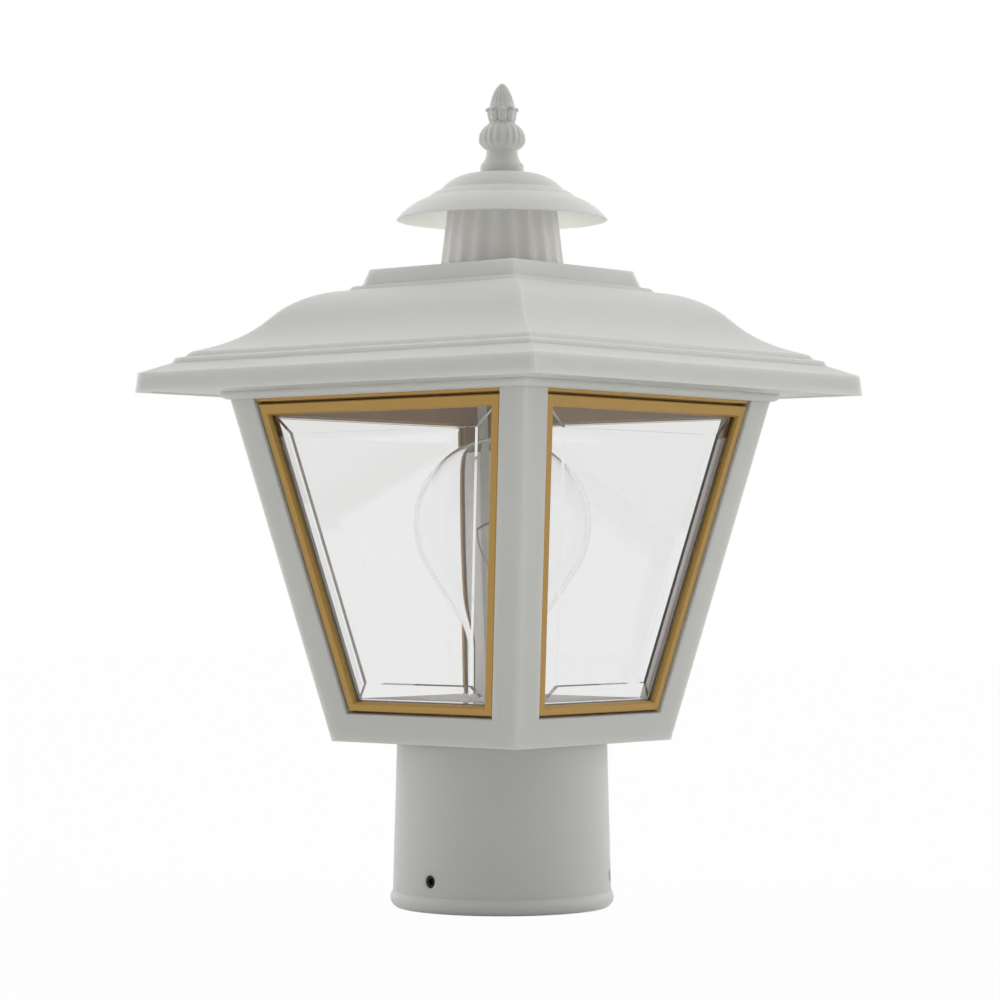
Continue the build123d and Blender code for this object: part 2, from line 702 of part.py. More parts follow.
with BuildPart() as finial:
    with BuildSketch(Plane.XZ):
        with BuildLine():
            foot = ThreePointArc(
                (finial_foot_radius - finial_foot_round, cap_top_z),
                (finial_foot_radius, cap_top_z + finial_foot_height / 2),
                (finial_foot_radius - finial_foot_round, cap_top_z + finial_foot_height),
            )
            neck = (finial_neck_radius, cap_top_z + finial_neck_height)
            trumpet = SagittaArc(foot @ 1, neck, finial_trumpet_bow)
            bulge = ThreePointArc(
                trumpet @ 1,
                (finial_bulb_radius, cap_top_z + finial_bulb_height),
                (finial_ring_radius, cap_top_z + finial_ring_foot),
            )
            ring = Polyline(
                bulge @ 1,
                (finial_ring_radius, cap_top_z + finial_ring_top),
                (finial_cup_foot_radius, cap_top_z + finial_cup_foot),
            )
            cup = SagittaArc(ring @ 1, (finial_cup_radius, cap_top_z + finial_cup_height), finial_cup_bow)
            bud = Spline(
                cup @ 1,
                (finial_bud_radius, cap_top_z + finial_bud_height),
                (finial_tip_radius, cap_top_z + finial_tip_height),
                (0, cap_top_z + finial_height),
                tangents=((-0.4, 1), (-1, 0)),
            )
            Polyline(bud @ 1, (0, cap_top_z), foot @ 0)
        make_face()
    revolve(axis=Axis.Z)
    # flutes round the bulb: a round cutter turned along its outline, lifting off at both ends
    reach = radians(gadroon_reach)
    for number in range(gadroon_count):
        outward = Vector(1, 0, 0).rotate(Axis.Z, (number + 0.5) * 360 / gadroon_count)
        across = Vector(0, 0, 1).cross(outward)
        hub = outward * (bulge.arc_center.X - gadroon_fade) + Vector(0, 0, bulge.arc_center.Y)
        low_end = outward * cos(reach) - Vector(0, 0, sin(reach))
        start = hub + low_end * (bulge.radius + gadroon_lift + gadroon_fade)
        with BuildSketch(Plane(origin=start, z_dir=low_end.cross(across))):
            Circle(gadroon_radius)
        revolve(axis=Axis(hub, -across), revolution_arc=2 * gadroon_reach, mode=Mode.SUBTRACT)
    # a ring of leaves under the bud
    for number in range(leaf_count):
        add(leaf.part.rotate(Axis.Z, (number + 0.5) * 360 / leaf_count))
    with BuildSketch(Plane.XY.offset(cap_top_z)):
        Circle(stud_radius + stud_fit)
    extrude(amount=stud_grip + 1, mode=Mode.SUBTRACT)
save(finial.part, "finial")

with BuildPart() as finial_stud:
    stud_foot_z = deck_under_z - washer_thickness - nut_thickness - stud_tail
    with BuildSketch(Plane.XY.offset(stud_foot_z)):
        Circle(stud_radius)
    extrude(amount=cap_top_z + stud_grip - stud_foot_z)
    chamfer(finial_stud.edges().filter_by(GeomType.CIRCLE), stud_radius * 0.2)
save(finial_stud.part, "finial_stud")

with BuildPart() as stud_washer:
    with BuildSketch(Plane.XY.offset(deck_under_z)):
        Circle(washer_radius)
        Circle(stud_radius + stud_fit, mode=Mode.SUBTRACT)
    extrude(amount=-washer_thickness)
save(stud_washer.part, "stud_washer")

with BuildPart() as stud_nut:
    with BuildSketch(Plane.XY.offset(deck_under_z - washer_thickness)):
        RegularPolygon(nut_flat, 6, major_radius=False)
        Circle(stud_radius + stud_fit, mode=Mode.SUBTRACT)
    extrude(amount=-nut_thickness)
save(stud_nut.part, "stud_nut")

# ---------------------------------------------------------------- lampholder
shell_inner = base_radius + bulb_fit
shell_outer = shell_inner + shell_thickness
with BuildPart() as socket_body:
    with BuildSketch(Plane.XY.offset(socket_foot_z)):
        Circle(socket_radius)
    extrude(amount=socket_height)
    fillet(socket_body.edges().filter_by(GeomType.CIRCLE), 1.0)
    with BuildSketch(Plane.XY.offset(socket_floor_z)):
        Circle(shell_outer + shell_fit)
    extrude(amount=socket_height, mode=Mode.SUBTRACT)
    with BuildSketch(Plane.XY.offset(socket_foot_z)):
        Circle(nipple_radius + screw_clearance)
    extrude(amount=nipple_grip + 0.5, mode=Mode.SUBTRACT)
    for turn in (90, 270):
        with BuildSketch(radial_plane(turn, socket_radius, terminal_z)):
            Circle(terminal_radius + screw_clearance)
        extrude(amount=-terminal_length - 0.5, mode=Mode.SUBTRACT)
save(socket_body.part, "socket_body")

with BuildPart() as socket_screw_shell:
    with BuildSketch(Plane.XY.offset(socket_floor_z)):
        Circle(shell_outer)
        Circle(shell_inner, mode=Mode.SUBTRACT)
    extrude(amount=socket_height - socket_floor - socket_lip)
save(socket_screw_shell.part, "socket_screw_shell")

# a springy brass strip: foot on the socket's floor, tongue under the bulb's contact
with BuildPart() as socket_contact:
    tongue_z = base_contact_z - base_contact_height - bulb_fit
    with BuildSketch(Plane.XZ):
        with BuildLine():
            Polyline(
                (-contact_foot, socket_floor_z),
                (-contact_foot / 3, socket_floor_z),
                (contact_foot / 3, tongue_z - contact_thickness),
                (contact_foot, tongue_z - contact_thickness),
                (contact_foot, tongue_z),
                (contact_foot / 3 - contact_thickness / 2, tongue_z),
                (-contact_foot / 3 - contact_thickness / 2, socket_floor_z + contact_thickness),
                (-contact_foot, socket_floor_z + contact_thickness),
                close=True,
            )
        make_face()
    extrude(amount=contact_width / 2, both=True)
save(socket_contact.part, "socket_contact")

with BuildPart() as terminal_screws:
    terminal_screw = make_screw(terminal_radius, terminal_length, terminal_head_radius, terminal_head_height)
    for turn in (90, 270):
        add(terminal_screw.moved(radial_plane(turn, socket_radius, terminal_z).location))
save(terminal_screws.part, "terminal_screws")

# a strip bent like a hat: its ears rest on bosses, its crown hangs through the floor
with BuildPart() as socket_bracket:
    ear_z = floor_top_z + ear_boss_height
    with BuildSketch(Plane.XZ):
        with BuildLine():
            Polyline(
                (0, socket_foot_z),
                (leg_inner, socket_foot_z),
                (leg_inner, ear_z + bracket_thickness),
                (leg_outer + bracket_ear, ear_z + bracket_thickness),
                (leg_outer + bracket_ear, ear_z),
                (leg_outer, ear_z),
                (leg_outer, socket_foot_z - bracket_thickness),
                (0, socket_foot_z - bracket_thickness),
            )
            mirror(about=Plane.YZ)
        make_face()
    extrude(amount=bracket_width / 2, both=True)
    with BuildSketch(Plane.XY.offset(ear_z)):
        with PolarLocations(ear_reach, 2):
            Circle(ear_screw_radius + screw_clearance)
    extrude(amount=bracket_thickness, mode=Mode.SUBTRACT)
    with BuildSketch(Plane.XY.offset(socket_foot_z)):
        Circle(nipple_radius + screw_clearance)
    extrude(amount=-bracket_thickness, mode=Mode.SUBTRACT)
save(socket_bracket.part, "socket_bracket")

with BuildPart() as bracket_screws:
    ear_screw = make_screw(ear_screw_radius, ear_screw_length, ear_head_radius, ear_head_height)
    with PolarLocations(ear_reach, 2):
        add(ear_screw.moved(Location((0, 0, ear_z + bracket_thickness))))
save(bracket_screws.part, "bracket_screws")

with BuildPart() as lamp_nipple:
    nipple_foot_z = socket_foot_z - bracket_thickness - nipple_nut_thickness - nipple_tail
    with BuildSketch(Plane.XY.offset(nipple_foot_z)):
        Circle(nipple_radius)
        Circle(nipple_bore, mode=Mode.SUBTRACT)
    extrude(amount=socket_foot_z + nipple_grip - nipple_foot_z)
save(lamp_nipple.part, "lamp_nipple")

with BuildPart() as nipple_nut:
    with BuildSketch(Plane.XY.offset(socket_foot_z - bracket_thickness)):
        RegularPolygon(nipple_nut_flat, 6, major_radius=False)
        Circle(nipple_radius + screw_clearance, mode=Mode.SUBTRACT)
    extrude(amount=-nipple_nut_thickness)
save(nipple_nut.part, "nipple_nut")

# ---------------------------------------------------------------- bulb
with BuildPart() as bulb_envelope:
    cone = radians(bulb_cone)
    shoulder_point = (bulb_radius * cos(cone), bulb_z - bulb_radius * sin(cone))
    flank_foot = ((bulb_radius - bulb_flank * sin(cone)) / cos(cone), bulb_z - bulb_flank)
    neck_blend = (flank_foot[0] - bulb_neck_radius) / (1 - cos(cone))
    neck_z = flank_foot[1] - neck_blend * sin(cone)
    glass_foot_z = base_top_z - bulb_seat
    with BuildSketch(Plane.XZ):
        with BuildLine():
            ThreePointArc((0, bulb_z + bulb_radius), (bulb_radius, bulb_z), shoulder_point)
            Line(shoulder_point, flank_foot)
            TangentArc(flank_foot, (bulb_neck_radius, neck_z), tangent=(-sin(cone), -cos(cone)))
            Polyline(
                (bulb_neck_radius, neck_z),
                (bulb_neck_radius, glass_foot_z),
                (0, glass_foot_z),
                (0, bulb_z + bulb_radius),
            )
        make_face()
    revolve(axis=Axis.Z)
    offset(amount=-bulb_glass, openings=bulb_envelope.faces().sort_by(Axis.Z)[0])
save(bulb_envelope.part, "bulb_glass")

# the stem closes the glass at its foot and carries the two leads
with BuildPart() as bulb_stem:
    with BuildSketch(Plane.XY.offset(glass_foot_z)):
        Circle(bulb_neck_radius)
    extrude(amount=-stem_flare)
    with BuildSketch(Plane.XY.offset(glass_foot_z)):
        Circle(stem_radius)
    extrude(amount=stem_top_z - glass_foot_z)
    fillet(bulb_stem.faces().sort_by(Axis.Z)[-1].edges(), stem_radius / 3)
save(bulb_stem.part, "bulb_stem")

with BuildPart() as lead_wire:
    with BuildLine(Plane.XZ):
        rise = Spline((lead_spread, stem_top_z), (filament_reach, lead_top_z), tangents=((0, 1), (0, 1)))
    with BuildSketch(Plane(origin=rise @ 0, z_dir=rise % 0)):
        Circle(lead_radius)
    sweep()
with BuildPart() as lead_wires:
    for turn in (0, 180):
        add(lead_wire.part.rotate(Axis.Z, turn))
save(lead_wires.part, "lead_wires")

# the coiled filament lies on the tops of the leads, arched between them
with BuildPart() as filament:
    filament_z = lead_top_z + filament_radius
    with BuildLine(Plane.XZ):
        arch = ThreePointArc(
            (-filament_reach, filament_z), (0, filament_z + filament_arch), (filament_reach, filament_z)
        )
    with BuildSketch(Plane(origin=arch @ 0, z_dir=arch % 0)):
        Circle(filament_radius)
    sweep()
save(filament.part, "filament")

with BuildPart() as bulb_base_shell:
    with BuildSketch(Plane.XY.offset(base_cone_z)):
        Circle(base_radius)
        Circle(base_radius - base_thickness, mode=Mode.SUBTRACT)
    extrude(amount=base_height)
save(bulb_base_shell.part, "bulb_base_shell")

with BuildPart() as bulb_base_insulator:
    for level, radius in ((base_cone_z, base_radius), (base_contact_z, base_cone_foot)):
        with BuildSketch(Plane.XY.offset(level)):
            Circle(radius)
    loft()
save(bulb_base_insulator.part, "bulb_base_insulator")

with BuildPart() as bulb_base_contact:
    with BuildSketch(Plane.XY.offset(base_contact_z)):
        Circle(base_contact_radius)
    extrude(amount=-base_contact_height)
    fillet(bulb_base_contact.faces().sort_by(Axis.Z)[0].edges(), 1.0)
save(bulb_base_contact.part, "bulb_base_contact")
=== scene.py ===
"""Finishes, finely shaped pieces and a studio for a square post top lantern."""
from math import cos, hypot, pi, radians, sin

import bmesh
import bpy
from bpy.props import FloatProperty, FloatVectorProperty, IntProperty, PointerProperty
from bpy.types import Operator, Panel, PropertyGroup
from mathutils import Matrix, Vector


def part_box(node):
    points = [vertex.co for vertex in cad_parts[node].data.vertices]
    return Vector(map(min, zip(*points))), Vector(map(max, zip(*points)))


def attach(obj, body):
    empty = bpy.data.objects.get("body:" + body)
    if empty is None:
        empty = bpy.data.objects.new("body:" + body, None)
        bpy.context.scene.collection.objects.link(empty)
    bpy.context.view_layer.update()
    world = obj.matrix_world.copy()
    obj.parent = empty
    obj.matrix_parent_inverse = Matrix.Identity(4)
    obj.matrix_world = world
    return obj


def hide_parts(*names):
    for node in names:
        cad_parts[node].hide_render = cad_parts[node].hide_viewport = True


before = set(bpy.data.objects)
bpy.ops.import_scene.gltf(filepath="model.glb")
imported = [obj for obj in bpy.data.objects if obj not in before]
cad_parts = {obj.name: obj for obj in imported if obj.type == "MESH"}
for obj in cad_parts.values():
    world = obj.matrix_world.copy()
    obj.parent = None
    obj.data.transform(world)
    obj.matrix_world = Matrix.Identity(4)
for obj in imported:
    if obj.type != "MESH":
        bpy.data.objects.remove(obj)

bl_info = {
    "name": "Post Top Lantern",
    "version": (1, 0, 0),
    "blender": (4, 5, 0),
    "location": "3D Viewport > Sidebar > Lantern",
    "description": "Dresses a square post top lantern and sets it in a plain studio",
    "category": "Object",
}

MM = 0.001

SIDES = ("front", "right", "back", "left")
WHITE_NODES = ("body_cage", "post_collar", "roof", "chimney_cap")
STEEL_NODES = (
    "collar_screws",
    "retainer_screws",
    "roof_screw_right",
    "roof_screw_left",
    "bracket_screws",
    "finial_stud",
    "stud_washer",
    "stud_nut",
    "socket_bracket",
    "lamp_nipple",
    "nipple_nut",
)


# ---------------------------------------------------------------- shader building
class Signal:
    """A node socket that takes part in Python arithmetic; each operator adds a Math node."""

    def __init__(self, network, socket):
        self.network = network
        self.socket = socket

    def math(self, operation, first, second):
        node = self.network.add("ShaderNodeMath", {"operation": operation}, {0: first, 1: second})
        return Signal(self.network, node.outputs[0])

    def __add__(self, other):
        return self.math("ADD", self, other)

    def __radd__(self, other):
        return self.math("ADD", other, self)

    def __sub__(self, other):
        return self.math("SUBTRACT", self, other)

    def __rsub__(self, other):
        return self.math("SUBTRACT", other, self)

    def __mul__(self, other):
        return self.math("MULTIPLY", self, other)

    def __rmul__(self, other):
        return self.math("MULTIPLY", other, self)

    def between(self, low, high):
        """0 at low, 1 at high, held outside them."""
        inputs = {"Value": self, "From Min": low, "From Max": high}
        node = self.network.add("ShaderNodeMapRange", {"clamp": True}, inputs)
        return Signal(self.network, node.outputs[0])

    def at_most(self, limit):
        return self.math("MINIMUM", self, limit)


class Network:
    """A node tree under construction."""

    def __init__(self, owner, output):
        owner.use_nodes = True
        self.tree = owner.node_tree
        self.tree.nodes.clear()
        self.output = self.add(output)

    def add(self, kind, settings=None, inputs=None):
        """One node: its settings first, then the values or links of its sockets."""
        node = self.tree.nodes.new(kind)
        for name, value in (settings or {}).items():
            setattr(node, name, value)
        for key, value in (inputs or {}).items():
            self.feed(node.inputs[key], value)
        return node

    def feed(self, socket, value):
        if isinstance(value, Signal):
            self.tree.links.new(value.socket, socket)
        elif isinstance(value, bpy.types.NodeSocket):
            self.tree.links.new(value, socket)
        else:
            socket.default_value = value

    def height(self, place):
        """The Z part of a place or a direction."""
        return Signal(self, self.add("ShaderNodeSeparateXYZ", None, {0: place}).outputs["Z"])

    def agreement(self, first, second):
        """1 where two directions are the same, 0 where they are square to each other."""
        settings = {"operation": "DOT_PRODUCT"}
        node = self.add("ShaderNodeVectorMath", settings, {0: first, 1: second})
        return Signal(self, node.outputs["Value"])

    def seen(self, *kinds):
        """1 for rays of these kinds, 0 for others."""
        rays = self.add("ShaderNodeLightPath").outputs
        total = Signal(self, rays[kinds[0]])
        for kind in kinds[1:]:
            total = total + Signal(self, rays[kind])
        return total.at_most(1.0)

    def done(self, shader):
        self.tree.links.new(shader, self.output.inputs["Surface"])


class Finish(Network):
    """A material under construction, read in Object coordinates (metres)."""

    def __init__(self, name):
        self.material = bpy.data.materials.new(name)
        super().__init__(self.material, "ShaderNodeOutputMaterial")
        self.place = self.add("ShaderNodeTexCoord").outputs["Object"]

    def stretched(self, scale):
        """Object coordinates scaled apart along X, Y and Z."""
        inputs = {"Vector": self.place, "Scale": scale}
        return self.add("ShaderNodeMapping", None, inputs).outputs[0]

    def noise(self, scale, detail, place=None):
        inputs = {"Vector": place or self.place, "Scale": scale, "Detail": detail}
        return Signal(self, self.add("ShaderNodeTexNoise", None, inputs).outputs["Fac"])

    def flakes(self, scale):
        """A random level for each small cell."""
        inputs = {"Vector": self.place, "Scale": scale}
        return Signal(self, self.add("ShaderNodeTexVoronoi", None, inputs).outputs["Color"])

    def mix(self, share, first, second):
        """Colour between two colours, on the sockets that a Mix node keeps for colours."""
        node = self.add("ShaderNodeMix", {"data_type": "RGBA"}, {0: share, 6: first, 7: second})
        return node.outputs[2]

    def grooves(self, reach, low):
        """1 where only a low share of the surroundings within reach is open, 0 in the open."""
        settings = {"samples": 4, "only_local": True}
        node = self.add("ShaderNodeAmbientOcclusion", settings, {"Distance": reach})
        return 1 - Signal(self, node.outputs["AO"]).between(low, 1.0)

    def rounded(self, radius):
        """Normal that rolls over the edges by a small radius."""
        return self.add("ShaderNodeBevel", {"samples": 4}, {"Radius": radius}).outputs[0]

    def edges(self, rounded):
        """1 on the rolled edges, 0 on the faces."""
        flat = self.add("ShaderNodeNewGeometry").outputs["Normal"]
        return (1 - self.agreement(rounded, flat)).between(0.01, 0.2)

    def bump(self, height, distance, normal=None):
        inputs = {"Height": height, "Distance": distance, "Strength": 1.0}
        if normal:
            inputs["Normal"] = normal
        return self.add("ShaderNodeBump", None, inputs).outputs[0]

    def surface(self, **values):
        """Principled surface, its inputs named with underscores for spaces."""
        inputs = {name.replace("_", " "): value for name, value in values.items()}
        return self.add("ShaderNodeBsdfPrincipled", None, inputs).outputs[0]

    def either(self, share, first, second):
        """A shader that gives way to a second one by a share."""
        inputs = {0: share, 1: first, 2: second}
        return self.add("ShaderNodeMixShader", None, inputs).outputs[0]

    def done(self, shader):
        super().done(shader)
        return self.material


# ---------------------------------------------------------------- finishes
PLASTIC_IOR = 1.49
GRAIN = 0.04 * MM
PAINTED_GROOVE_SHADE = (0.86, 0.84, 0.79)  # what painted shade in grooves leaves of a surface's red, green and blue

UPRIGHT_STREAKS = (1.0, 1.0, 0.1)
LEVEL_STREAKS = (0.1, 0.1, 1.0)
SIDEWAYS_STREAKS = (0.05, 1.0, 1.0)


def tint(colour, factor=1.0):
    """A colour as four numbers, lightened or darkened."""
    return [min(1.0, part * factor) for part in colour] + [1.0]


def white_plastic(name, colour, roughness=0.42, depth=5.0 * MM):
    """Moulded matt plastic: faint clouds, a spark-eroded grain, painted shade in its grooves, a
    painted highlight on its rounded edges.

    Light goes into it to about the depth.
    """
    finish = Finish(name)
    clouds = finish.noise(14.0, 4.0)
    sparks = finish.noise(1600.0, 2.0)
    rounded = finish.rounded(0.6 * MM)
    edge_wear_and_highlight = finish.edges(rounded)
    plain = finish.mix(clouds, tint(colour, 0.97), tint(colour, 1.02))
    groove_shade = tint([part * left for part, left in zip(colour, PAINTED_GROOVE_SHADE)])
    # painted shade: grooves and inner corners, found by occlusion, are darkened
    groove_shaded = finish.mix(0.35 * finish.grooves(5.0 * MM, 0.35), plain, groove_shade)
    return finish.done(finish.surface(
        # painted highlight: the rounded edges are lightened; their lower roughness is a real sheen
        Base_Color=finish.mix(0.3 * edge_wear_and_highlight, groove_shaded, tint(colour, 1.08)),
        Roughness=roughness + 0.1 * sparks + 0.06 * clouds - 0.08 * edge_wear_and_highlight,
        IOR=PLASTIC_IOR,
        Subsurface_Weight=1.0,
        Subsurface_Radius=(1.0, 1.0, 0.92),
        Subsurface_Scale=depth,
        Normal=finish.bump(sparks, GRAIN, rounded),
    ))


def gold_paint(name, colour, roughness, metallic):
    """Satin gold paint: fine flakes, slow variation along the bars, painted shade in its grooves,
    brighter edges as a painted highlight with some wear.
    """
    finish = Finish(name)
    flakes = finish.flakes(2600.0)
    clouds = finish.noise(60.0, 4.0)
    brushed = finish.noise(900.0, 2.0, finish.stretched((1.0, 1.0, 0.08)))
    rounded = finish.rounded(0.3 * MM)
    edge_wear_and_highlight = finish.edges(rounded)
    plain = finish.mix(0.5 * flakes + 0.5 * clouds, tint(colour, 0.86), tint(colour, 1.12))
    # painted shade: grooves and inner corners are darkened towards half the gold
    shaded = finish.mix(0.5 * finish.grooves(3.0 * MM, 0.3), plain, tint(colour, 0.5))
    return finish.done(finish.surface(
        # painted highlight, with some wear: the rounded edges are a lighter gold
        Base_Color=finish.mix(0.5 * edge_wear_and_highlight, shaded, tint(colour, 1.4)),
        Metallic=metallic,
        Roughness=roughness + 0.12 * clouds - 0.08 * flakes,
        Normal=finish.bump(brushed + 0.4 * flakes, 0.03 * MM, rounded),
    ))


def part_painted(name, paint, lit_bare, low, high):
    """Pale frames, lightened as painted light inside the cage, with painted rails: the paint ends
    unevenly at a low and a high level.
    """
    finish = Finish(name)
    uneven, fade = 1.0 * MM, 0.4 * MM
    level = finish.height(finish.place) + uneven * finish.noise(300.0, 2.0)
    painted = level.between(high, high + fade) + level.between(low, low - fade)
    clouds = finish.noise(60.0, 4.0)
    sparks = finish.noise(1500.0, 2.0)
    rounded = finish.rounded(0.3 * MM)
    edge_wear_and_highlight = finish.edges(rounded)
    covered = finish.mix(clouds, tint(paint, 0.88), tint(paint, 1.1))
    # painted light: the bare pale is lighter than the moulded white, as if lit inside the cage
    moulded = finish.mix(clouds, tint(lit_bare, 0.96), tint(lit_bare, 1.03))
    return finish.done(finish.surface(
        # the paint wears thin on the rounded edges and shows the pale below
        Base_Color=finish.mix(painted * (1 - 0.3 * edge_wear_and_highlight), moulded, covered),
        Metallic=0.4 * painted,
        Roughness=0.45 + 0.1 * clouds + 0.08 * sparks,
        Normal=finish.bump(sparks, 0.03 * MM, rounded),
    ))


def clear_solid(name, colour, ior, ripple, fold_shade=0.0, gloss=0.5):
    """Clear glass or acrylic: faint waves, fine specks, folds darkened by a share of painted
    shade.

    Shadow rays pass straight on, so what stands behind it is lit.
    """
    finish = Finish(name)
    waves = finish.noise(22.0, 2.0)
    specks = finish.noise(260.0, 1.0).between(0.78, 0.84)
    folds = finish.edges(finish.rounded(0.4 * MM))
    glassy = finish.surface(
        # painted shade: the bevel folds are darkened; the specks are dust
        Base_Color=finish.mix(fold_shade * folds + 0.12 * specks, tint(colour), tint(colour, 0.55)),
        Roughness=0.03 * specks,
        IOR=ior,
        Specular_IOR_Level=gloss,
        Transmission_Weight=1.0,
        Normal=finish.bump(waves, ripple),
    )
    open_way = finish.add("ShaderNodeBsdfTransparent", None, {"Color": tint((1, 1, 1))})
    return finish.done(finish.either(finish.seen("Is Shadow Ray"), glassy, open_way.outputs[0]))


def worked_metal(name, colour, roughness, streak=UPRIGHT_STREAKS, tarnish=0.25):
    """Drawn, rolled or plated metal: fine streaks, dull patches, brighter edges."""
    finish = Finish(name)
    streaks = finish.noise(1400.0, 3.0, finish.stretched(streak))
    patches = finish.noise(160.0, 4.0).between(0.35, 0.7)
    rounded = finish.rounded(0.15 * MM)
    edge_wear_and_highlight = finish.edges(rounded)
    dulled = finish.mix(patches * tarnish, tint(colour), tint(colour, 0.6))
    return finish.done(finish.surface(
        # painted highlight, with some wear: the rounded edges are lighter
        Base_Color=finish.mix(0.4 * edge_wear_and_highlight, dulled, tint(colour, 1.3)),
        Metallic=1.0,
        Roughness=roughness + 0.15 * patches + 0.1 * streaks,
        Normal=finish.bump(streaks, 0.02 * MM, rounded),
    ))


def glazed(name, colour, roughness):
    """Glazed porcelain or black glass: pooled glaze, pinholes, painted shade in its grooves, a
    soft coat.
    """
    finish = Finish(name)
    pools = finish.noise(70.0, 3.0)
    pinholes = finish.noise(700.0, 1.0).between(0.7, 0.8)
    rounded = finish.rounded(0.4 * MM)
    grooves = finish.grooves(4.0 * MM, 0.3)
    glaze = finish.mix(pools, tint(colour, 0.95), tint(colour, 1.03))
    return finish.done(finish.surface(
        # painted shade darkens the grooves; the pinholes are the glaze's own
        Base_Color=finish.mix(0.6 * pinholes + 0.3 * grooves, glaze, tint(colour, 0.6)),
        Roughness=roughness + 0.2 * pinholes + 0.05 * pools,
        Normal=finish.bump(pools, 0.1 * MM, rounded),
        Coat_Weight=0.5,
    ))


def dress(nodes, material):
    """Give CAD nodes a finish."""
    for name in nodes:
        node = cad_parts[name]
        node.data.materials.clear()
        node.data.materials.append(material)


# ---------------------------------------------------------------- shaping
WELD = 0.005 * MM  # points closer than this become one
SLACK = 0.02 * MM  # how far a point may be from the place it is looked for at

WAVE_STEPS = 8  # along one turn's section of a rolled thread
TURN_STEPS = 48  # round one turn of it
SPARE_TURNS = 3  # more than the tube's height asks for, cut away at its ends
RIM_LEAN = 0.7  # a rolled sheet's lower rim leans out by this share of its wall
TUBE_COLUMNS = 72
# edges bent by less than these are shaded smooth
SHEET_SMOOTH, CARVED_SMOOTH = radians(40), radians(50)


def start_clean():
    """Nothing selected, so that an operator acts on the new piece alone."""
    if bpy.context.mode != "OBJECT":
        bpy.ops.object.mode_set(mode="OBJECT")
    bpy.ops.object.select_all(action="DESELECT")


def fresh(name):
    """Name the primitive that was just added, and put its place into its mesh."""
    piece = bpy.context.object
    piece.name = name
    bpy.ops.object.transform_apply(location=True, rotation=True, scale=True)
    return piece


def open_points():
    """Edit mode, by vertices."""
    bpy.ops.object.mode_set(mode="EDIT")
    bpy.ops.mesh.select_mode(type="VERT")


def pick(piece, wanted):
    """In edit mode, select the vertices whose place is wanted."""
    shape = bmesh.from_edit_mesh(piece.data)
    for vertex in shape.verts:
        vertex.select_set(bool(wanted(vertex.co)))
    shape.select_flush_mode()
    bmesh.update_edit_mesh(piece.data)


def at_height(level):
    return lambda place: abs(place.z - level) < SLACK


def outline(stretches, steps):
    """Points along stretches that each lead to (radius, height) with an outward bow."""
    points = [stretches[0][:2]]
    for radius, height, bow in stretches[1:]:
        first, low = points[-1]
        run = hypot(radius - first, height - low)
        for step in range(1, steps + 1):
            share = step / steps
            push = 4 * bow * share * (1 - share) / run
            points.append((
                first + (radius - first) * share + (height - low) * push,
                low + (height - low) * share - (radius - first) * push,
            ))
    return points


def turned(name, points, columns):
    """A round form: a ring at its foot, extruded and resized from point to point upwards."""
    start_clean()
    (reach, level), *rest = points
    bpy.ops.mesh.primitive_circle_add(
        vertices=columns, radius=reach, fill_type="NGON", location=(0, 0, level)
    )
    piece = fresh(name)
    open_points()
    for radius, height in rest:
        pick(piece, at_height(level))
        bpy.ops.mesh.extrude_region_move(TRANSFORM_OT_translate={"value": (0, 0, height - level)})
        growth = radius / reach
        bpy.ops.transform.resize(value=(growth, growth, 1), center_override=(0, 0, height))
        reach, level = radius, height
    bpy.ops.mesh.select_all(action="SELECT")
    bpy.ops.mesh.remove_doubles(threshold=WELD)
    bpy.ops.mesh.normals_make_consistent(inside=False)
    return piece


def turn_mesh(angle):
    """Turn the active piece's mesh about the lantern's axis."""
    bpy.ops.object.mode_set(mode="EDIT")
    bpy.ops.mesh.select_all(action="SELECT")
    bpy.ops.transform.rotate(value=angle, orient_axis="Z", center_override=(0, 0, 0))
    bpy.ops.object.mode_set(mode="OBJECT")


def thickened(piece, wall, offset):
    """Give an open sheet its wall, inwards at offset -1 and to both sides at 0."""
    sheet = piece.modifiers.new("sheet", "SOLIDIFY")
    sheet.thickness = wall
    sheet.offset = offset
    bpy.ops.object.modifier_apply(modifier=sheet.name)


def carved(piece):
    """Leave edit mode, subdivide the surface once and shade it smooth."""
    bpy.ops.object.mode_set(mode="OBJECT")
    rounding = piece.modifiers.new("rounding", "SUBSURF")
    rounding.levels = rounding.render_levels = 1
    bpy.ops.object.modifier_apply(modifier=rounding.name)
    bpy.ops.object.shade_smooth_by_angle(angle=CARVED_SMOOTH)
    return piece


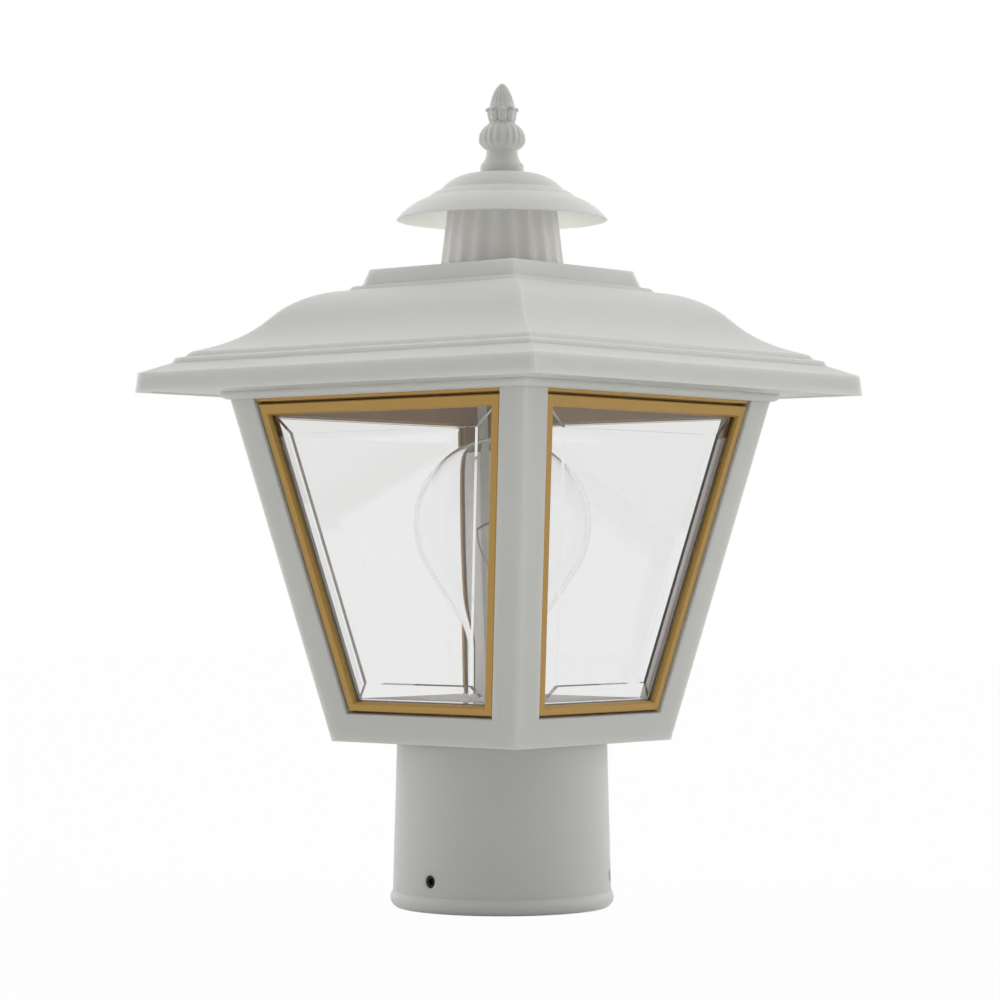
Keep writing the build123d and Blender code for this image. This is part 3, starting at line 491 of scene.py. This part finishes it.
def rolled_thread(name, root, crest, pitch, low, high, wall):
    """A tube of thin sheet with a round thread rolled into it, cut level at both ends."""
    start_clean()
    bpy.ops.mesh.primitive_plane_add(
        size=pitch, rotation=(pi / 2, 0, 0), location=(pitch / 2, 0, low - pitch / 2)
    )
    tube = fresh(name)
    open_points()
    # the plane's edge on the axis is kept, cut up and bent into one wave of the thread
    pick(tube, lambda place: place.x > pitch / 2)
    bpy.ops.mesh.delete(type="VERT")
    bpy.ops.mesh.select_all(action="SELECT")
    bpy.ops.mesh.subdivide(number_cuts=WAVE_STEPS - 1)
    for step in range(WAVE_STEPS + 1):
        share = step / WAVE_STEPS
        pick(tube, at_height(low - pitch + pitch * share))
        reach = (root + crest) / 2 + (crest - root) / 2 * cos(2 * pi * share)
        bpy.ops.transform.translate(value=(reach, 0, 0))
    bpy.ops.object.mode_set(mode="OBJECT")
    turns = tube.modifiers.new("turns", "SCREW")
    turns.angle = 2 * pi
    turns.screw_offset = pitch
    turns.iterations = int((high - low) / pitch) + SPARE_TURNS
    turns.steps = turns.render_steps = TURN_STEPS
    turns.use_merge_vertices = True
    turns.merge_threshold = WELD
    bpy.ops.object.modifier_apply(modifier=turns.name)
    # the turns below and above the tube's ends are cut away
    bpy.ops.object.mode_set(mode="EDIT")
    bpy.ops.mesh.select_all(action="SELECT")
    bpy.ops.mesh.remove_doubles(threshold=WELD)
    foot = (0, 0, low + RIM_LEAN * wall)
    bpy.ops.mesh.bisect(plane_co=foot, plane_no=(0, 0, 1), clear_inner=True)
    bpy.ops.mesh.select_all(action="SELECT")
    bpy.ops.mesh.bisect(plane_co=(0, 0, high), plane_no=(0, 0, 1), clear_outer=True)
    bpy.ops.mesh.select_all(action="SELECT")
    bpy.ops.mesh.normals_make_consistent(inside=False)
    # an open tube can end up inside out
    shape = bmesh.from_edit_mesh(tube.data)
    if sum(face.normal.xy.dot(face.calc_center_median().xy) for face in shape.faces) < 0:
        bpy.ops.mesh.flip_normals()
    bpy.ops.object.mode_set(mode="OBJECT")
    thickened(tube, wall, -1.0)
    bpy.ops.object.shade_smooth_by_angle(angle=SHEET_SMOOTH)
    return tube


def ring_tube(name, reach, low, high, wall):
    """A short plain tube with rounded rims."""
    start_clean()
    bpy.ops.mesh.primitive_cylinder_add(
        vertices=TUBE_COLUMNS, radius=reach, depth=high - low, end_fill_type="NOTHING",
        location=(0, 0, (low + high) / 2),
    )
    tube = fresh(name)
    thickened(tube, wall, -1.0)
    rims = tube.modifiers.new("rims", "BEVEL")
    rims.width = wall / 4
    rims.segments = 2
    bpy.ops.object.modifier_apply(modifier=rims.name)
    bpy.ops.object.shade_smooth_by_angle(angle=SHEET_SMOOTH)
    return tube


def joined(first, *others):
    """One object of several, kept under the first one's name."""
    start_clean()
    for part in (first,) + others:
        part.select_set(True)
    bpy.context.view_layer.objects.active = first
    bpy.ops.object.join()
    return first


def stand_for(piece, node, body, material):
    """Dress a new piece and put it in the place of a CAD node."""
    piece.data.materials.clear()
    piece.data.materials.append(material)
    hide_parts(node)
    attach(piece, body)


# ---------------------------------------------------------------- sizes and colours
class ThreadForm(PropertyGroup):
    pitch: FloatProperty(
        name="Pitch", description="From turn to turn of the bulb's thread", default=3.63 * MM,
        min=1 * MM, subtype="DISTANCE", unit="LENGTH",
    )
    depth: FloatProperty(
        name="Depth", description="From crest to root", default=0.65 * MM,
        min=0, subtype="DISTANCE", unit="LENGTH",
    )
    sheet: FloatProperty(
        name="Sheet", description="Thickness of the rolled sheet", default=0.3 * MM,
        min=0.1 * MM, subtype="DISTANCE", unit="LENGTH",
    )


class FinialForm(PropertyGroup):
    flutes: IntProperty(
        name="Flutes", description="Hollow flutes round the bulb", default=20, min=3,
    )
    flute_depth: FloatProperty(
        name="Flute depth", description="As a share of the bulb's radius", default=0.1,
        min=0, max=0.3, subtype="FACTOR",
    )
    rib_depth: FloatProperty(
        name="Rib depth", description="Of the bud's fine ribs, as a share of its radius",
        default=0.1, min=0, max=0.3, subtype="FACTOR",
    )
    leaves: IntProperty(
        name="Leaves", description="Curled leaves under the bud", default=8, min=3,
    )
    turn: FloatProperty(
        name="Turn", description="Of the first leaf and flute from +X", default=radians(-48.0),
        subtype="ANGLE", unit="ROTATION",
    )


class LanternColours(PropertyGroup):
    white: FloatVectorProperty(
        name="White plastic", description="Moulded body, roof and collar", subtype="COLOR",
        size=3, min=0, max=1, default=(0.725, 0.732, 0.698),
    )
    # lighter than the body's white: painted light under the cap's shade, and warmer
    chimney: FloatVectorProperty(
        name="Chimney plastic", description="The chimney's warmer white", subtype="COLOR",
        size=3, min=0, max=1, default=(0.93, 0.885, 0.85),
    )
    gold: FloatVectorProperty(
        name="Gold paint", description="Window trim", subtype="COLOR",
        size=3, min=0, max=1, default=(0.455, 0.275, 0.072),
    )
    retainer: FloatVectorProperty(
        name="Retainer paint", description="Upper and lower rails behind the panes",
        subtype="COLOR", size=3, min=0, max=1, default=(0.30, 0.16, 0.05),
    )
    # lighter than the moulded white: painted light inside the cage
    lit_bare: FloatVectorProperty(
        name="Bare retainer", description="Upright bars behind the panes", subtype="COLOR",
        size=3, min=0, max=1, default=(0.94, 0.90, 0.88),
    )
    pane: FloatVectorProperty(
        name="Pane", description="Clear acrylic", subtype="COLOR",
        size=3, min=0, max=1, default=(0.905, 0.906, 0.904),
    )
    bulb: FloatVectorProperty(
        name="Bulb glass", description="Blown glass of the bulb", subtype="COLOR",
        size=3, min=0, max=1, default=(0.985, 0.99, 0.99),
    )
    steel: FloatVectorProperty(
        name="Zinc steel", description="Plated screws, nuts and bracket", subtype="COLOR",
        size=3, min=0, max=1, default=(0.56, 0.56, 0.55),
    )
    brass: FloatVectorProperty(
        name="Brass", description="Socket's shell and contact", subtype="COLOR",
        size=3, min=0, max=1, default=(0.72, 0.52, 0.22),
    )
    porcelain: FloatVectorProperty(
        name="Porcelain", description="Socket's body", subtype="COLOR",
        size=3, min=0, max=1, default=(0.82, 0.80, 0.76),
    )


class LanternStudio(PropertyGroup):
    room: FloatProperty(
        name="Room", description="Level of the light from the sides and from overhead",
        default=1.0, min=0, max=2, subtype="FACTOR",
    )
    backlight: FloatProperty(
        name="Backlight",
        description="How much more light comes from behind, and less from the camera's side",
        default=0.83, min=0, max=1, subtype="FACTOR",
    )
    overhead: FloatProperty(
        name="Overhead", description="How much darker the room is overhead than at its walls",
        default=0.40, min=0, max=1, subtype="FACTOR",
    )
    top_light: FloatProperty(
        name="Top light", description="Radiant power of the softbox overhead", default=0.5,
        min=0, unit="POWER",
    )
    inner_fill: FloatProperty(
        name="Inner fill",
        description="Radiant power of the unseen softbox that lights the cage's back corner",
        default=0.03, min=0, unit="POWER",
    )
    camera_turn: FloatProperty(
        name="Camera turn", description="Turn from the front window towards the right one",
        default=radians(40.36), subtype="ANGLE", unit="ROTATION",
    )
    camera_reach: FloatProperty(
        name="Camera distance", description="Level distance from the lantern's axis",
        default=1.2535, min=0.3, subtype="DISTANCE", unit="LENGTH",
    )
    camera_height: FloatProperty(
        name="Camera height", description="Above the collar's lower rim", default=0.1308,
        subtype="DISTANCE", unit="LENGTH",
    )
    camera_pitch: FloatProperty(
        name="Camera pitch", description="Upward tilt of the camera", default=radians(1.171),
        subtype="ANGLE", unit="ROTATION",
    )
    camera_shift: FloatProperty(
        name="Camera shift", description="Sideways shift, as a share of the frame's width",
        default=-0.0021,
    )
    lens: FloatProperty(
        name="Lens", description="Focal length in millimetres on a 36 mm wide sensor",
        default=116.57, min=20, unit="CAMERA",
    )


# small pieces' colours, which stay as they are
ALUMINIUM = (0.78, 0.78, 0.77)
NICKEL = (0.6, 0.57, 0.5)
TUNGSTEN = (0.3, 0.3, 0.31)
BLACK_GLASS = (0.02, 0.02, 0.022)
SOLDER = (0.55, 0.55, 0.53)
BLACK_OXIDE = (0.06, 0.045, 0.035)

# the retainers' rails are painted below the first height and above the second
RAIL_PAINT = (77.0 * MM, 181.0 * MM)

# each stretch leads to a radius and a height above the cap, in millimetres, with an outward bow
FINIAL_STRETCHES = (
    (7.9, 0.0, 0.0),
    (8.4, 0.7, 0.15),
    (8.4, 3.0, 0.05),
    (7.8, 3.9, 0.2),
    (6.0, 8.6, -0.45),
    (6.1, 9.2, -0.05),
    (8.3, 10.9, 0.1),
    (9.33, 13.4, 0.3),
    (8.2, 16.9, 0.3),
    (5.1, 19.4, 0.35),
    (5.0, 20.0, 0.25),
    (4.3, 20.6, 0.0),
    (4.8, 23.6, 0.0),
    (5.0, 26.4, 0.25),
    (4.0, 30.0, 0.05),
    (2.5, 33.1, 0.15),
    (0.9, 34.9, 0.15),
    (0.02, 35.25, 0.1),
)
STRETCH_STEPS = 4
BULB_FOOT, BULB_TOP, BUD_FOOT, BUD_TOP = 8.9, 19.2, 26.6, 34.4
# of a flute's four columns one stays as its ridge, and the others are pressed in: from and to,
# in pitches off the nearest ridge, and the share of the full depth there
FLUTE_COLUMNS = 4
PRESSED = ((0.2, 0.4, 0.75), (0.4, 0.6, 1.0))

# each row of a leaf: height above the cap, reach from the axis and half width
LEAF_ROWS = (
    (20.1, 4.5, 1.15),
    (21.3, 4.85, 1.6),
    (22.6, 5.1, 1.85),
    (23.9, 5.3, 1.8),
    (25.0, 5.45, 1.5),
    (25.6, 5.7, 1.2),
    (25.1, 6.0, 0.9),
    (24.2, 6.05, 0.6),
)
LEAF_COLUMNS = 6
# in millimetres: a leaf's wall, how far its rims fall back and how far its vein stands out
LEAF_WALL, LEAF_CUP, LEAF_VEIN = 0.9, 0.75, 0.2


# ---------------------------------------------------------------- operators
class LANTERN_OT_white_pieces(Operator):
    """Dress the cage, collar, roof, chimney and cap in moulded white plastic"""

    bl_idname = "lantern.white_pieces"
    bl_label = "White Pieces"

    def execute(self, context):
        colours = context.scene.lantern_colours
        dress(WHITE_NODES, white_plastic("moulded_white", colours.white))
        # painted light: the chimney's white is lighter than the body's, standing in for light
        # under the cap
        dress(["chimney"], white_plastic("chimney_lit_white", colours.chimney, 0.45))
        return {"FINISHED"}


def finial_turned(form, foot):
    """The turned form, its flutes and ribs pressed in between ridges."""
    stretches = outline(FINIAL_STRETCHES, STRETCH_STEPS)
    points = [(radius * MM, foot + height * MM) for radius, height in stretches]
    piece = turned("finial_turned", points, FLUTE_COLUMNS * form.flutes)
    pitch = 2 * pi / form.flutes

    def off_ridge(place):
        """0 on a ridge, 0.5 in the middle of a flute."""
        angle = Vector((place.x, place.y)).angle_signed(Vector((1, 0)))
        return abs((angle / pitch + 0.5) % 1 - 0.5)

    for radius, level in points:
        above = (level - foot) / MM
        if BULB_FOOT < above < BULB_TOP:
            share = (above - BULB_FOOT) / (BULB_TOP - BULB_FOOT)
            depth = form.flute_depth * sin(pi * share) ** 0.5
        elif BUD_FOOT < above < BUD_TOP:
            depth = form.rib_depth
        else:
            continue
        on_ring = at_height(level)
        for near, far, part in PRESSED:
            pick(piece, lambda place: on_ring(place) and near < off_ridge(place) < far)
            size = 1 - part * depth
            bpy.ops.transform.resize(value=(size, size, 1), center_override=(0, 0, level))
    return carved(piece)


def finial_leaf(foot):
    """One leaf in front of the axis: a grid shaped row by row, its vein raised, its tip curled."""
    start_clean()
    rows = len(LEAF_ROWS) - 1
    bpy.ops.mesh.primitive_grid_add(
        x_subdivisions=LEAF_COLUMNS, y_subdivisions=rows, size=2 * MM, rotation=(pi / 2, 0, 0)
    )
    leaf = fresh("finial_leaf")
    open_points()
    # columns first: the vein stands out, the rims fall back round the stem
    for column in range(LEAF_COLUMNS + 1):
        across = 2 * column / LEAF_COLUMNS - 1
        push = LEAF_CUP * across ** 2 - (LEAF_VEIN if across == 0 else 0)
        pick(leaf, lambda place: abs(place.x - across * MM) < SLACK)
        bpy.ops.transform.translate(value=(0, push * MM, 0))
    # then rows from the tip down, each to its own height, reach and width
    for row in range(rows, -1, -1):
        height, reach, half = LEAF_ROWS[row]
        level = (2 * row / rows - 1) * MM
        pick(leaf, at_height(level))
        bpy.ops.transform.resize(value=(half, 1, 1), center_override=(0, 0, level))
        bpy.ops.transform.translate(value=(0, -reach * MM, foot + height * MM - level))
    bpy.ops.object.mode_set(mode="OBJECT")
    thickened(leaf, LEAF_WALL * MM, 0.0)
    bpy.ops.object.mode_set(mode="EDIT")
    bpy.ops.mesh.select_all(action="SELECT")
    bpy.ops.mesh.normals_make_consistent(inside=False)
    return carved(leaf)


class LANTERN_OT_finial(Operator):
    """Shape the finial: trumpet foot, fluted bulb, curled leaves and ribbed bud"""

    bl_idname = "lantern.finial"
    bl_label = "Finial"

    def execute(self, context):
        form = context.scene.finial_form
        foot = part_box("finial")[0][2]
        piece = finial_turned(form, foot)
        leaf = finial_leaf(foot)
        leaves = [leaf]
        for number in range(1, form.leaves):
            start_clean()
            leaf.select_set(True)
            context.view_layer.objects.active = leaf
            bpy.ops.object.duplicate()
            leaves.append(context.object)
            turn_mesh(number * 2 * pi / form.leaves)
        piece = joined(piece, *leaves)
        piece.name = "finial_carved"
        # the first leaf and flute come to the asked turn
        turn_mesh(-(form.turn + pi / 2))
        # light goes less far into its thin leaves than into the walls of the lantern
        colour = context.scene.lantern_colours.white
        finish = white_plastic("finial_white", colour, depth=0.5 * MM)
        stand_for(piece, "finial", "finial", finish)
        return {"FINISHED"}


class LANTERN_OT_window_trim(Operator):
    """Paint the trim frames gold and the rails of the retainers behind them a duller gold"""

    bl_idname = "lantern.window_trim"
    bl_label = "Window Trim"

    def execute(self, context):
        colours = context.scene.lantern_colours
        gold = gold_paint("gold_trim", colours.gold, roughness=0.36, metallic=0.55)
        dress([f"trim_frame_{side}" for side in SIDES], gold)
        rails = part_painted("retainer_rails", colours.retainer, colours.lit_bare, *RAIL_PAINT)
        dress([f"pane_retainer_{side}" for side in SIDES], rails)
        return {"FINISHED"}


class LANTERN_OT_panes(Operator):
    """Make the four bevelled panes clear acrylic"""

    bl_idname = "lantern.panes"
    bl_label = "Panes"

    def execute(self, context):
        colour = context.scene.lantern_colours.pane
        acrylic = clear_solid(
            "clear_acrylic", colour, PLASTIC_IOR, ripple=0.03 * MM, fold_shade=0.35, gloss=0.25
        )
        dress([f"pane_{side}" for side in SIDES], acrylic)
        return {"FINISHED"}


class LANTERN_OT_bulb(Operator):
    """Dress the bulb: clear glass, stem, wires, filament and base"""

    bl_idname = "lantern.bulb"
    bl_label = "Bulb"

    def base(self, form):
        """The rolled base: a thread below, a plain skirt above it that holds the glass."""
        skirt_height, overlap, inset, gap = 3.4 * MM, 0.3 * MM, 0.1 * MM, 0.05 * MM
        (_, _, low), (crest, _, high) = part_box("bulb_base_shell")
        crest -= gap
        skirt_foot = high - skirt_height
        thread = rolled_thread(
            "bulb_base_rolled", crest - form.depth, crest, form.pitch,
            low, skirt_foot + overlap, form.sheet,
        )
        skirt = ring_tube("skirt", crest - inset, skirt_foot, high, form.sheet)
        metal = worked_metal("rolled_aluminium", ALUMINIUM, 0.25, LEVEL_STREAKS)
        stand_for(joined(thread, skirt), "bulb_base_shell", "bulb", metal)

    def execute(self, context):
        glass = context.scene.lantern_colours.bulb
        # a low index, so that the thin glass shows little more than its outline
        dress(["bulb_glass"], clear_solid("blown_glass", glass, 1.12, ripple=0.04 * MM))
        dress(["bulb_stem"], clear_solid("stem_glass", glass, 1.5, ripple=0.4 * MM))
        dress(["lead_wires"], worked_metal("nickel_wire", NICKEL, 0.3))
        dress(["filament"], worked_metal("tungsten", TUNGSTEN, 0.4, SIDEWAYS_STREAKS))
        self.base(context.scene.thread_form)
        dress(["bulb_base_insulator"], glazed("black_glass", BLACK_GLASS, 0.15))
        dress(["bulb_base_contact"], worked_metal("solder", SOLDER, 0.45))
        return {"FINISHED"}


class LANTERN_OT_lampholder(Operator):
    """Dress the socket: porcelain body, brass shell, contact and terminal screws"""

    bl_idname = "lantern.lampholder"
    bl_label = "Lampholder"

    def execute(self, context):
        colours = context.scene.lantern_colours
        dress(["socket_body"], glazed("porcelain", colours.porcelain, 0.12))
        brass = worked_metal("brass", colours.brass, 0.28, LEVEL_STREAKS)
        dress(["socket_contact", "terminal_screws"], brass)
        pitch = context.scene.thread_form.pitch
        depth, sheet, rim_height, overlap = 0.45 * MM, 0.25 * MM, 1.3 * MM, 0.1 * MM
        (_, _, low), (outer, _, high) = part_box("socket_screw_shell")
        rim_foot = high - rim_height
        shell = rolled_thread(
            "socket_shell_rolled", outer - depth, outer, pitch, low, rim_foot + overlap, sheet
        )
        rim = ring_tube("rim", outer, rim_foot, high, depth)
        stand_for(joined(shell, rim), "socket_screw_shell", "lantern", brass)
        return {"FINISHED"}


class LANTERN_OT_fasteners(Operator):
    """Dress the plated screws, nuts, stud and bracket, and the black set screws"""

    bl_idname = "lantern.fasteners"
    bl_label = "Fasteners"

    def execute(self, context):
        colours = context.scene.lantern_colours
        dress(STEEL_NODES, worked_metal("zinc_steel", colours.steel, 0.35))
        black = worked_metal("black_oxide", BLACK_OXIDE, 0.45, tarnish=0.4)
        dress([f"set_screw_{number}" for number in (1, 2, 3)], black)
        return {"FINISHED"}


# ---------------------------------------------------------------- stage
LANTERN_MIDDLE = Vector((0, 0, 0.16))
TOP_LIGHT_HEIGHT, TOP_LIGHT_BACK, TOP_LIGHT_SIZE = 1.3, 0.3, 1.0
FILL_HEIGHT, FILL_FORWARD, FILL_REACH, FILL_SIZE = 0.14, 0.005, 0.1, 0.05
FLOOR_SIZE, FLOOR_GAP = 6.0, 0.2 * MM
FLOOR_SHOWN_WHITE = 0.96
WALL_LIGHT = 1.15  # the room's level at the horizon, before it falls off overhead
RIGHT_LIGHT = 0.06  # how much more light comes from the camera's right


def softbox(name, place, size, power, target):
    """A square area light that faces a target."""
    turn = (target - place).to_track_quat("-Z", "Y").to_euler()
    bpy.ops.object.light_add(type="AREA", radius=size, location=place, rotation=turn)
    light = bpy.context.object
    light.name = name
    light.data.energy = power
    light.data.size = size
    return light


def pale_floor():
    """Matt white paper, which the camera sees as its white background with a faint shadow."""
    finish = Finish("pale_floor")
    fibres = finish.noise(3.0, 2.0)
    paper = finish.mix(fibres, tint((0.81, 0.81, 0.81)), tint((0.83, 0.83, 0.83)))
    matt = finish.surface(Base_Color=paper, Roughness=0.9)
    glow = finish.add("ShaderNodeEmission", None, {"Color": tint((1, 1, 1)), "Strength": 1.0})
    seen = finish.seen("Is Camera Ray", "Is Glossy Ray", "Is Transmission Ray")
    return finish.done(finish.either(FLOOR_SHOWN_WHITE * seen, matt, glow.outputs[0]))


def white_room(world, back, right, studio):
    """White surroundings, brightest behind the lantern; the camera sees plain white."""
    room = Network(world, "ShaderNodeOutputWorld")
    direction = room.add("ShaderNodeTexCoord").outputs["Generated"]
    light = studio.room + studio.backlight * room.agreement(direction, back)
    light = light + RIGHT_LIGHT * room.agreement(direction, right)
    light = light * (WALL_LIGHT - studio.overhead * room.height(direction).between(0, 1))
    # metal and glass show no more than white
    mirrored = room.seen("Is Glossy Ray", "Is Transmission Ray")
    light = mirrored * light.at_most(1.0) + (1 - mirrored) * light
    shown = room.seen("Is Camera Ray")
    inputs = {"Color": tint((1, 1, 1)), "Strength": shown + (1 - shown) * light}
    room.done(room.add("ShaderNodeBackground", None, inputs).outputs[0])


class LANTERN_OT_stage(Operator):
    """Add the camera, softboxes, pale floor and white surroundings"""

    bl_idname = "lantern.stage"
    bl_label = "Stage"

    def camera(self, context, studio, back):
        """A camera in front of the lantern, at the studio's distance, height and tilt."""
        tilt = studio.camera_pitch
        towards = back * cos(tilt) + Vector((0, 0, sin(tilt)))
        place = Vector((0, 0, studio.camera_height)) - back * studio.camera_reach
        aim = towards.to_track_quat("-Z", "Y").to_euler()
        bpy.ops.object.camera_add(location=place, rotation=aim)
        camera = context.object
        camera.data.lens = studio.lens
        camera.data.shift_x = studio.camera_shift
        context.scene.camera = camera

    def lights(self, studio, back):
        """One softbox overhead, and an unseen one inside the cage."""
        place = TOP_LIGHT_BACK * back + Vector((0, 0, TOP_LIGHT_HEIGHT))
        softbox("softbox_top", place, TOP_LIGHT_SIZE, studio.top_light, LANTERN_MIDDLE)
        level = Vector((0, 0, FILL_HEIGHT))
        place, target = level - FILL_FORWARD * back, level + FILL_REACH * back
        fill = softbox("fill_inside", place, FILL_SIZE, studio.inner_fill, target)
        fill.visible_camera = fill.visible_glossy = fill.visible_transmission = False

    def execute(self, context):
        studio = context.scene.lantern_studio
        turn = studio.camera_turn
        back = Vector((-sin(turn), cos(turn), 0))
        right = Vector((cos(turn), sin(turn), 0))
        self.camera(context, studio, back)
        self.lights(studio, back)
        bpy.ops.mesh.primitive_plane_add(size=FLOOR_SIZE, location=(0, 0, -FLOOR_GAP))
        floor = context.object
        floor.name = "floor"
        floor.data.materials.append(pale_floor())
        world = bpy.data.worlds.new("studio_room")
        context.scene.world = world
        white_room(world, back, right, studio)
        context.scene.view_settings.view_transform = "Standard"
        return {"FINISHED"}


# ---------------------------------------------------------------- panel and start
class LANTERN_PT_panel(Panel):
    """The lantern's forms, colours, studio and steps"""

    bl_idname = "LANTERN_PT_panel"
    bl_label = "Post Top Lantern"
    bl_space_type = "VIEW_3D"
    bl_region_type = "UI"
    bl_category = "Lantern"

    def draw(self, context):
        scene = context.scene
        groups = (
            scene.finial_form, scene.thread_form, scene.lantern_colours, scene.lantern_studio
        )
        for group in groups:
            box = self.layout.box()
            for name in group.__annotations__:
                box.prop(group, name)
        for step in STEPS:
            self.layout.operator(step.bl_idname)


STEPS = (
    LANTERN_OT_white_pieces,
    LANTERN_OT_finial,
    LANTERN_OT_window_trim,
    LANTERN_OT_panes,
    LANTERN_OT_bulb,
    LANTERN_OT_lampholder,
    LANTERN_OT_fasteners,
    LANTERN_OT_stage,
)
CLASSES = (ThreadForm, FinialForm, LanternColours, LanternStudio) + STEPS + (LANTERN_PT_panel,)


def register():
    for cls in CLASSES:
        bpy.utils.register_class(cls)
    bpy.types.Scene.thread_form = PointerProperty(type=ThreadForm)
    bpy.types.Scene.finial_form = PointerProperty(type=FinialForm)
    bpy.types.Scene.lantern_colours = PointerProperty(type=LanternColours)
    bpy.types.Scene.lantern_studio = PointerProperty(type=LanternStudio)


def unregister():
    del bpy.types.Scene.lantern_studio
    del bpy.types.Scene.lantern_colours
    del bpy.types.Scene.finial_form
    del bpy.types.Scene.thread_form
    for cls in reversed(CLASSES):
        bpy.utils.unregister_class(cls)


def main():
    register()
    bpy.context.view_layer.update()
    for step in STEPS:
        group, name = step.bl_idname.split(".")
        getattr(getattr(bpy.ops, group), name)()


if __name__ == "__main__":
    main()
